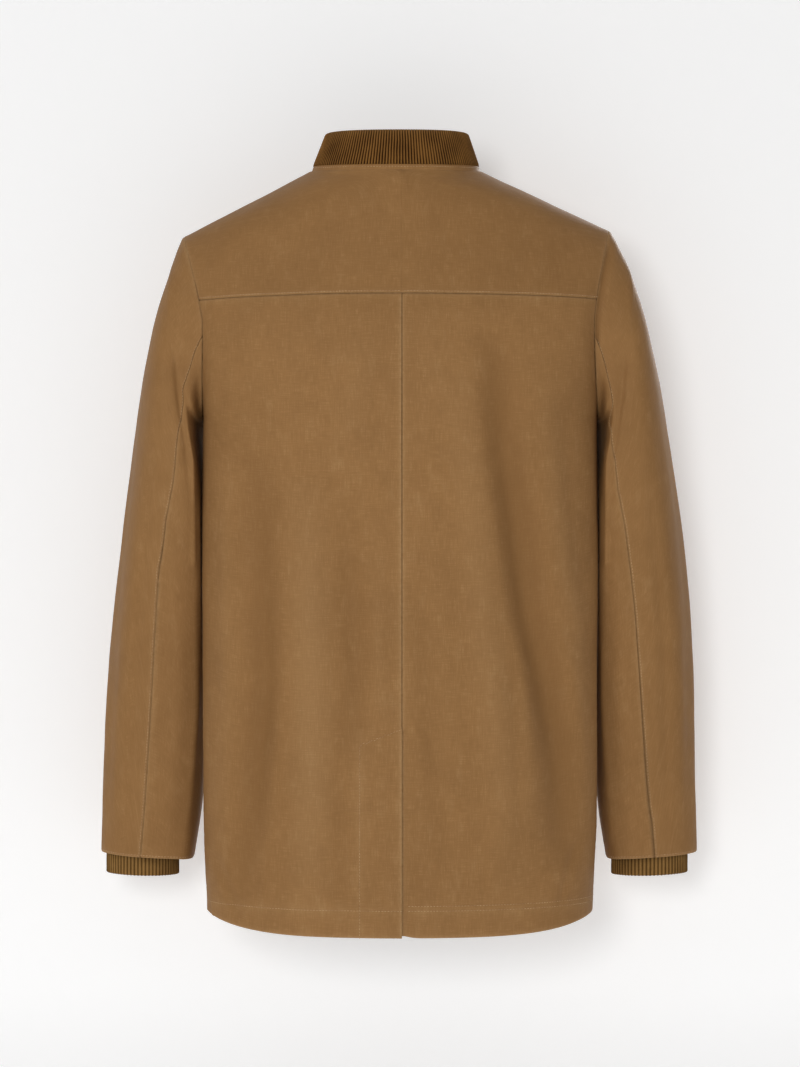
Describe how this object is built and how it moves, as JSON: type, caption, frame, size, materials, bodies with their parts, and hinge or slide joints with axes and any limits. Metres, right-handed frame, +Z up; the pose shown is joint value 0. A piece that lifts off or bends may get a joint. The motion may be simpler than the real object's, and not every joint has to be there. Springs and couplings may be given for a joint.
{
  "type": "waxed cotton jacket",
  "caption": "Hip-length waxed cotton jacket, filled out as worn, with a corduroy stand collar, back yoke, centre back vent and ribbed storm cuffs.",
  "frame": {"origin": "middle of the neck opening, level with the points where the collar meets the shoulders", "axes": "+Z up the wearer's body, +Y towards the wearer's back, +X towards the wearer's left"},
  "size_m": [0.6465, 0.2662, 0.8408],
  "materials": {
    "shell": "waxed cotton, tan brown, low sheen",
    "corduroy": "fine corduroy, dark brown",
    "rib": "rib knit, mid brown",
    "button": "dark brown, satin"
  },
  "bodies": {
    "root": {"back_left": "shell", "back_right": "shell", "button_1": "button", "button_2": "button", "button_3": "button", "button_4": "button", "button_5": "button", "collar": "corduroy", "collar_strip": "shell", "cuff_left": "rib", "cuff_right": "rib", "front_left": "shell", "front_right": "shell", "sleeve_left_under": "shell", "sleeve_left_upper": "shell", "sleeve_right_under": "shell", "sleeve_right_upper": "shell", "yoke": "shell"}
  },
  "joints": []
}
